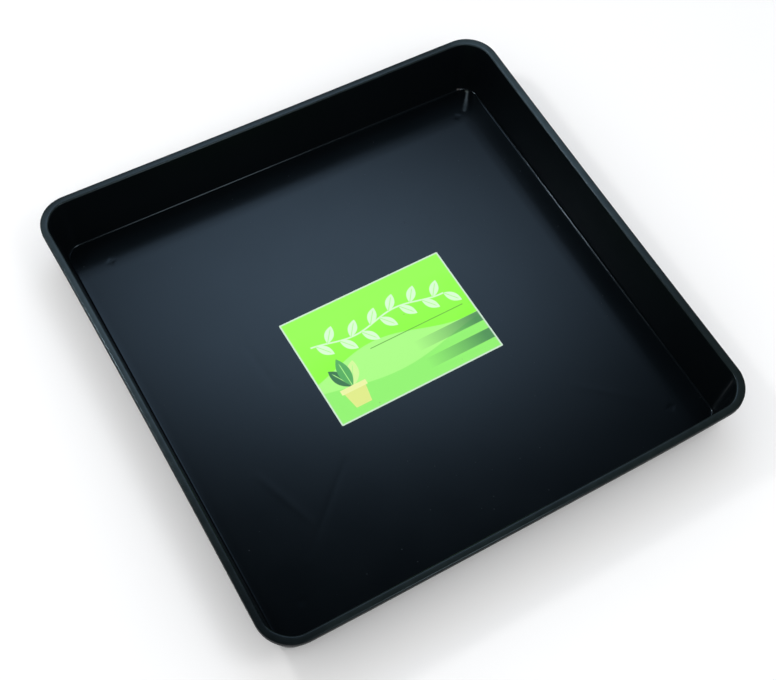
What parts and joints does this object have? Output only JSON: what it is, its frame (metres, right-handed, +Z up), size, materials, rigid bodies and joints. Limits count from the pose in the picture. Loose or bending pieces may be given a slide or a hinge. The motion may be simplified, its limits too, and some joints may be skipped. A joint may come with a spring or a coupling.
{
  "type": "garden tray",
  "caption": "Square, shallow, open garden tray of black plastic with drafted walls, round corners and a narrow flat rim, and a flat printed label glued to its floor.",
  "frame": {"origin": "middle of the flat underside, on the surface that the tray stands on", "axes": "+Z up out of the open top, +Y towards the label's top edge, +X towards the label's right edge"},
  "size_m": [0.6, 0.6, 0.07],
  "materials": {
    "tray_plastic": "satin gloss, moulded, black",
    "label_glue": "clear-drying acrylic film",
    "label_print": "printed paper with a satin varnish"
  },
  "bodies": {
    "root": {"tray": "tray_plastic", "label_adhesive": "label_glue", "label_sheet": "label_print"}
  },
  "joints": []
}
